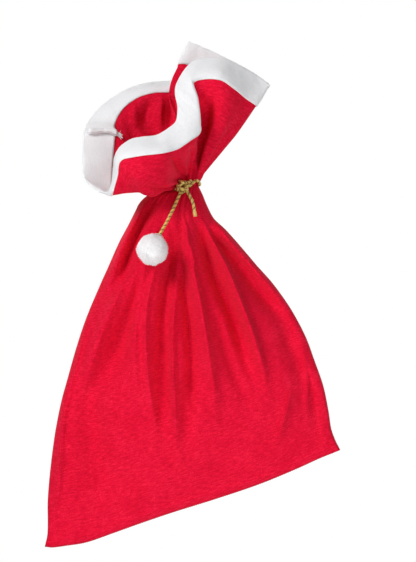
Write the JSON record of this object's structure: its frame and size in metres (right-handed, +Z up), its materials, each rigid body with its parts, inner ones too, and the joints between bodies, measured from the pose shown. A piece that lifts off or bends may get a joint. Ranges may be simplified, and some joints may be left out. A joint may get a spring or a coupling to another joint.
{
  "type": "fabric gift sack",
  "caption": "Red cloth drawstring gift sack with a white-trimmed flared mouth, gathered and tied at the neck with a gold cord that ends in a white pompom.",
  "frame": {"origin": "centre of the tied neck, where a hand grips the sack", "axes": "+Z up, along the hanging sack; the front, with the knot and the pompom, faces -Y; +X is to the right of someone looking at the front"},
  "size_m": [0.57, 0.2714, 0.9748],
  "materials": {
    "red_cloth": "matt red felted polyester cloth",
    "white_cloth": "matt white brushed cloth",
    "gold_cord": "twisted metallic gold thread",
    "red_thread": "red sewing thread",
    "white_thread": "white sewing thread",
    "white_pile": "fluffy white yarn pile"
  },
  "bodies": {
    "neck": {"front_panel_neck": "red_cloth", "back_panel_neck": "red_cloth", "neck_cord_loop": "gold_cord", "cord_knot": "gold_cord", "short_cord_tail": "gold_cord", "short_tail_whipping": "gold_cord"},
    "sack_body": {"front_panel_body": "red_cloth", "back_panel_body": "red_cloth", "left_side_seam_thread": "red_thread", "right_side_seam_thread": "red_thread", "bottom_seam_thread": "red_thread"},
    "mouth": {"front_panel_collar": "red_cloth", "back_panel_collar": "red_cloth", "front_trim_band": "white_cloth", "back_trim_band": "white_cloth", "front_band_topstitch": "white_thread", "back_band_topstitch": "white_thread", "left_band_seam_tab": "white_cloth", "right_band_seam_tab": "white_cloth"},
    "tail": {"cord_tail": "gold_cord", "cord_end_knot": "gold_cord"},
    "pompom": {"pompom_pile": "white_pile", "pompom_binding_thread": "white_thread"}
  },
  "joints": [
    {"name": "body_swing", "type": "hinge", "parent": "neck", "child": "sack_body", "pos_m": [0, 0, 0], "axis": [0, 1, 0], "range_deg": [-10, 8]},
    {"name": "mouth_sway", "type": "hinge", "parent": "neck", "child": "mouth", "pos_m": [0, 0, 0], "axis": [0, 1, 0], "range_deg": [-5, 10], "stiffness_Nm_per_rad": 1},
    {"name": "tail_swing", "type": "hinge", "parent": "neck", "child": "tail", "pos_m": [-0.003, -0.0333, 0.004], "axis": [0, 1, 0], "range_deg": [-24, 30]},
    {"name": "pompom_tilt", "type": "hinge", "parent": "tail", "child": "pompom", "pos_m": [-0.04768, -0.07382, -0.09084], "axis": [-0.9048, 0, 0.4259], "range_deg": [0, 35]}
  ]
}
